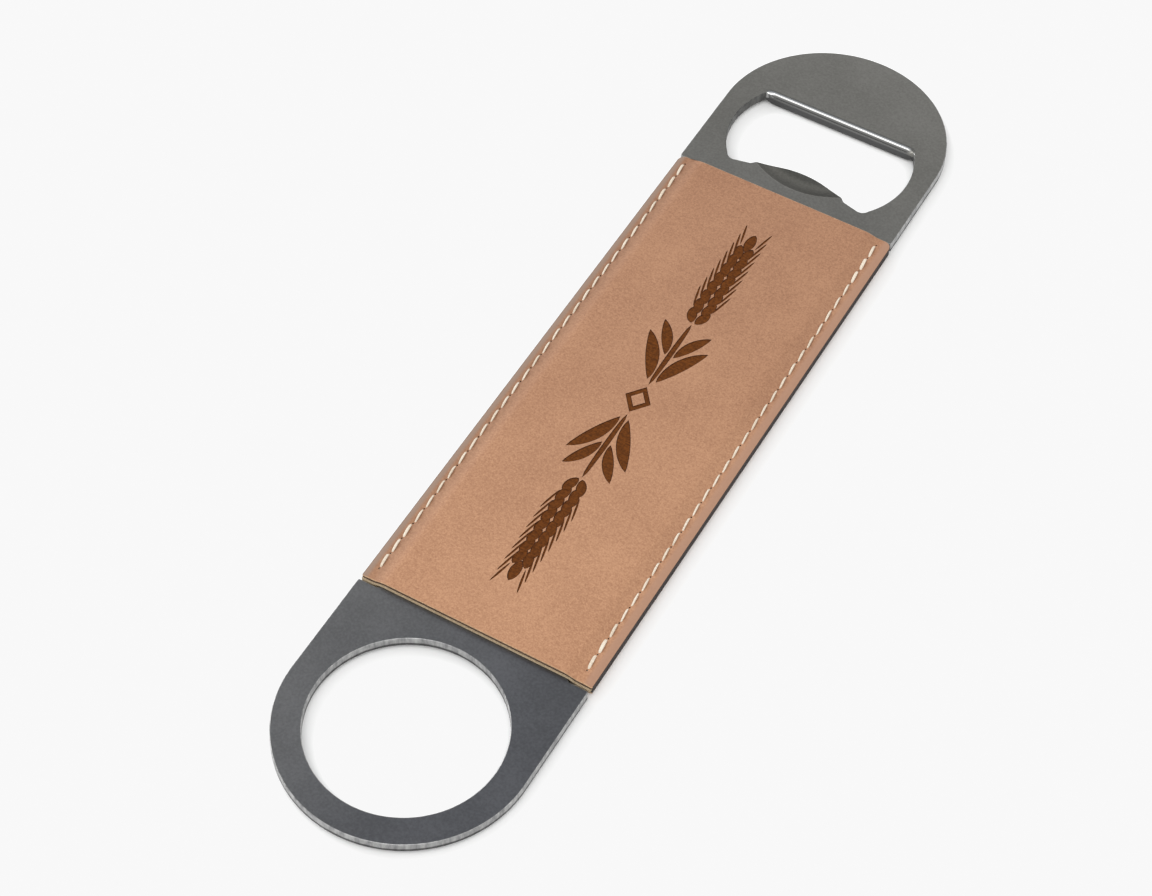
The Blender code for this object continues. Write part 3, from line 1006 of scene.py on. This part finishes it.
def build_coat(side_name, facing, looks):
    """The coloured layer. On the front it is engraved, with a scorched wall round each shape."""
    outlines = [turned(shape, True) for shape in ornament()] if facing > 0 else []
    walls = [WALL_WIDTH if area(shape) > FINE_SHAPE else FINE_WALL_WIDTH for shape in outlines]
    if outlines:
        walls[-1] *= -1  # the lozenge's own centre stands up, so its wall slopes the other way
    floor_edges = [inset(shape, wall) for shape, wall in zip(outlines, walls)]
    half_way = [inset(shape, wall / 2) for shape, wall in zip(outlines, walls)]
    loops = [sleeve_outline(COAT_SET_BACK), *needle_holes()]
    guides = [ring + ring[:1] for ring in tuples([*outlines, *floor_edges])]
    loose = clear_of(panel_points(loops), outlines, 0.15 * MM)
    faces = top_and_bottom(facing, coat_height(facing, half_way), layer_height(facing, COAT))
    floors = [(shape, WALL) for shape in outlines[:-1]]
    floors += [(shape, FLOOR) for shape in floor_edges[:-1]]
    floors += [(shape, WALL) for shape in floor_edges[-1:]]
    floors += [(shape, FACE) for shape in outlines[-1:]]
    name, edge = f"{side_name}_panel_coat", COAT_EDGE_RADIUS
    coat = sheet(name, looks, loops, *faces, edge, guides, loose, floors, coat_rim_look)
    link(coat, f"{side_name}_coat")


def build_layer(side_name, facing, part, depth, thickness, looks, set_back):
    """The core or the backing, a little smaller than the sleeve's outline."""
    outline = inset(turned(sleeve_outline(set_back), True), LAYER_SHRINK)
    loops = [*tuples([outline]), *needle_holes()]
    low, high = SLEEVE_LOW.y - MM, SLEEVE_HIGH.y + MM
    guides = []
    for side, edge in ((-1, SLEEVE_LOW.x), (1, SLEEVE_HIGH.x)):
        bends = list(np.linspace(DRAPE_START[0], DRAPE_END, 14))
        bends += list(abs(edge) - EDGE_ROLL_WIDTH * np.linspace(1.0, 0.15, 6))
        guides += [[(x, low), (x, high)] for x in side * np.array(bends)]
    heights = layer_height(facing, depth), layer_height(facing, depth + thickness)
    faces = top_and_bottom(facing, *heights)
    name = f"{side_name}_panel_{part}"
    layer = sheet(name, looks, loops, *faces, LAYER_EDGE_RADIUS, guides, rim_look=side_look)
    link(layer, f"{side_name}_{part}")


def build_sleeve():
    coat, edge = leatherette(), dyed_edge()
    floor = engraved_core("engraved_core", srgb(68, 34, 6), srgb(96, 52, 14))
    wall = engraved_core("scorched_wall", srgb(44, 22, 10), srgb(70, 38, 18))
    core = foam_core()
    # the coat's cut ends: the raw cut, made paler as a painted highlight along the edge
    cut = backing_cloth("cut_coat_painted_highlight", srgb(150, 116, 86), srgb(196, 160, 122))
    cloth = backing_cloth("backing_cloth", srgb(140, 120, 93), srgb(180, 161, 132))
    for side_name, facing in (("front", 1), ("back", -1)):
        build_coat(side_name, facing, [coat, floor, edge, wall, cut])
        for part, depth, thickness, look, set_back in (
            ("core", CORE_DEPTH, CORE, core, COAT_SET_BACK),
            ("backing", BACKING_DEPTH, BACKING, cloth, 0.0),
        ):
            looks = [look, look, edge]  # FACE to DYED
            build_layer(side_name, facing, part, depth, thickness, looks, set_back)


# ---------------------------------------------------------------- stitching


def curve_through(points, per_span):
    """A smooth line through the points, as an array."""
    points = np.array(points)
    padded = np.vstack((2 * points[0] - points[1], points, 2 * points[-1] - points[-2]))
    shares = np.linspace(0, 1, per_span, endpoint=False)[:, None]
    made = []
    for a, b, c, d in zip(padded, padded[1:], padded[2:], padded[3:]):
        slope, bend, turn = c - a, 2 * a - 5 * b + 4 * c - d, 3 * b - a - 3 * c + d
        made.append(b + 0.5 * (slope * shares + bend * shares**2 + turn * shares**3))
    return np.vstack([*made, points[-1:]])


def twisted_thread(name, look, route, radii, around=15):
    """Plies laid together along a route, each with its own round back.

    The thread is a little flattened where it lies on the panel.
    """
    ahead = np.gradient(route, axis=0)
    ahead /= np.linalg.norm(ahead, axis=1)[:, None]
    side = np.cross(ahead[0], (1.0, 0.0, 0.0))
    sides = []
    for direction in ahead:
        side = side - direction * side.dot(direction)
        side /= np.linalg.norm(side)
        sides.append(side)
    sides = np.array(sides)
    others = np.cross(ahead, sides)
    run = np.concatenate(([0], np.cumsum(np.linalg.norm(np.diff(route, axis=0), axis=1))))
    angles = np.linspace(0, 2 * math.pi, around, endpoint=False)
    phase = angles[None] - (2 * math.pi * run / PLY_TWIST)[:, None]
    ply = 0.80 + 0.24 * np.abs(np.cos(PLIES / 2 * phase)) ** 0.8
    reach = radii[:, None] * ply
    offset = sides[:, None] * (reach * np.cos(angles))[..., None]
    offset += others[:, None] * (reach * np.sin(angles))[..., None]
    upright = np.abs(ahead[:, 2:3])
    offset[..., 2] *= 0.78 + 0.22 * upright
    points = (route[:, None] + offset).reshape(-1, 3)
    faces = []
    for i in range(len(route) - 1):
        here, beyond = i * around, (i + 1) * around
        for k in range(around):
            j = (k + 1) % around
            faces.append((here + k, here + j, beyond + j, beyond + k))
    last = (len(route) - 1) * around
    faces.append(tuple(reversed(range(around))))
    faces.append(tuple(range(last, last + around)))
    return mesh_object(name, points, faces, [look], crease=60)


def seam_route(side, facing, random):
    """The thread's line from hole to hole, with its radius: over the face, and down each hole.

    Sideways offsets and heights above the face are in millimetres, and widths in thread radii.
    """
    ys = stitch_ys()
    holes = list(range(BACKTACK, 0, -1)) + list(range(STITCHES + 1))
    holes += list(range(STITCHES - 1, STITCHES - BACKTACK - 1, -1))
    knot = -0.78  # where the two threads loop round each other
    points, widths = [], []

    def add(x, y, height, width):
        points.append((side * SEAM_X + x * MM, y, SEAM_PLANE + facing * (PANEL + height * MM)))
        widths.append(width * THREAD_RADIUS)

    for step, (start, end) in enumerate(zip(holes, holes[1:])):
        down = 1 if end > start else -1
        doubled = step < BACKTACK or step >= len(holes) - 1 - BACKTACK
        beside = (-0.12 if doubled else 0.0) * facing
        slant = 0.09 * facing * down
        near, far = ys[start], ys[end]
        sway = random.uniform(-0.05, 0.05)
        swell = random.uniform(0.94, 1.08)
        mouth, shoulder = down * 0.24 * MM, down * 0.68 * MM
        add(0.0, near, knot, 0.5)
        add(beside / 2 - slant, near - mouth, -0.33, 0.6)
        add(beside - slant + sway, near - shoulder, -0.02, 0.9 * swell)
        add(beside + sway, (near + far) / 2, 0.09, 1.1 * swell)
        add(beside + slant + sway, far + shoulder, -0.02, 0.9 * swell)
        add(beside / 2 + slant, far + mouth, -0.33, 0.6)
    add(0.0, ys[holes[-1]], knot, 0.5)
    per_span = 5
    route = curve_through(points, per_span)
    widths = np.interp(np.arange(len(route)) / per_span, np.arange(len(widths)), widths)
    return route, widths


def build_stitching():
    look = sewing_thread()
    random = np.random.default_rng(seed=7)
    for side_name, side in (("left", -1), ("right", 1)):
        for thread_name, facing in (("needle", 1), ("bobbin", -1)):
            route, widths = seam_route(side, facing, random)
            name = f"{side_name}_{thread_name}_stitches"
            thread = twisted_thread(name, look, route, widths)
            link(thread, f"{side_name}_{thread_name}_thread")


# ---------------------------------------------------------------- studio

FLOOR_WHITE = 0.94


def build_floor():
    half = 4.0  # metres
    corners = [(-half, -half, 0), (half, -half, 0), (half, half, 0), (-half, half, 0)]
    floor = mesh_object("floor", corners, [(0, 1, 2, 3)], [paper_floor()])
    bpy.context.scene.collection.objects.link(floor)


def build_lights():
    """Two soft boxes that face the blade's middle."""
    for name, place, width, height, power in (
        ("window", (-0.95, 0.25, 0.55), 0.8, 0.8, 7.0),
        ("overhead", (0.1, -0.45, 0.8), 0.5, 0.4, 2.2),
    ):
        light = bpy.data.lights.new(name, "AREA")
        light.shape = "RECTANGLE"
        light.size = width
        light.size_y = height
        light.energy = power
        lamp = bpy.data.objects.new(name, light)
        lamp.location = place
        lamp.rotation_euler = (-Vector(place)).to_track_quat("-Z", "Y").to_euler()
        bpy.context.scene.collection.objects.link(lamp)


def build_world():
    """A white room, dimmer at the horizon, with a dark patch of ceiling that steel mirrors."""
    world = bpy.data.worlds.new("studio")
    bpy.context.scene.world = world
    world.use_nodes = True
    nodes, links = world.node_tree.nodes, world.node_tree.links
    spot = nodes.new("ShaderNodeTexCoord")
    dark_patch = Vector((-0.25, 0.25, 0.93)).normalized()
    shares = []
    for axis, low, high, at_low, at_high in (
        ((0, 0, 1), 0.0, 0.6, 0.25, 1.5),
        (dark_patch, 0.78, 0.97, 0.0, 1.0),
    ):
        facing = nodes.new("ShaderNodeVectorMath")
        facing.operation = "DOT_PRODUCT"
        facing.inputs[1].default_value = axis
        share = nodes.new("ShaderNodeMapRange")
        share.interpolation_type = "SMOOTHSTEP"
        limits = (low, high, at_low, at_high)
        for key, limit in zip(("From Min", "From Max", "To Min", "To Max"), limits):
            share.inputs[key].default_value = limit
        links.new(spot.outputs["Generated"], facing.inputs[0])
        links.new(facing.outputs["Value"], share.inputs["Value"])
        shares.append(share.outputs["Result"])
    tint = nodes.new("ShaderNodeMix")
    tint.data_type = "RGBA"
    tint.inputs[MIX_LOW].default_value = (1.0, 1.0, 0.99, 1.0)
    tint.inputs[MIX_HIGH].default_value = (0.15, 0.158, 0.172, 1.0)
    links.new(shares[1], tint.inputs["Factor"])
    links.new(tint.outputs[MIX_RESULT], nodes["Background"].inputs["Color"])
    links.new(shares[0], nodes["Background"].inputs["Strength"])


def build_camera():
    azimuth, elevation, roll = math.radians(28.23), math.radians(52.44), math.radians(1.91)
    distance = 438.4 * MM
    target = Vector((-4.0 * MM, -12.4 * MM, BLADE_TOP))
    outward, rise = math.cos(elevation), math.sin(elevation)
    back = Vector((math.sin(azimuth) * outward, -math.cos(azimuth) * outward, rise))
    level = Vector((math.cos(azimuth), math.sin(azimuth), 0))
    upright = back.cross(level)
    right = level * math.cos(roll) + upright * math.sin(roll)
    up = back.cross(right)
    data = bpy.data.cameras.new("camera")
    data.sensor_width = 36.0
    data.lens = 87.32
    data.clip_start = 0.01
    data.clip_end = 20.0
    camera = bpy.data.objects.new("camera", data)
    camera.matrix_world = Matrix((right, up, back)).transposed().to_4x4()
    camera.location = target + back * distance
    bpy.context.scene.collection.objects.link(camera)
    bpy.context.scene.camera = camera


def limit_white(view, level):
    """Lets nothing show brighter than a level, so that the floor is one even pale tone."""
    view.view_transform = "Standard"
    view.use_curve_mapping = True
    mapping = view.curve_mapping
    mapping.extend = "HORIZONTAL"
    curve = mapping.curves[3]  # the one for all channels
    curve.points[1].location = (1.0, level)
    curve.points.new(level, level)
    for point in curve.points:
        point.handle_type = "VECTOR"
    mapping.update()


build_camera()
build_blade()
build_sleeve()
build_stitching()
build_floor()
build_lights()
build_world()
limit_white(bpy.context.scene.view_settings, FLOOR_WHITE)
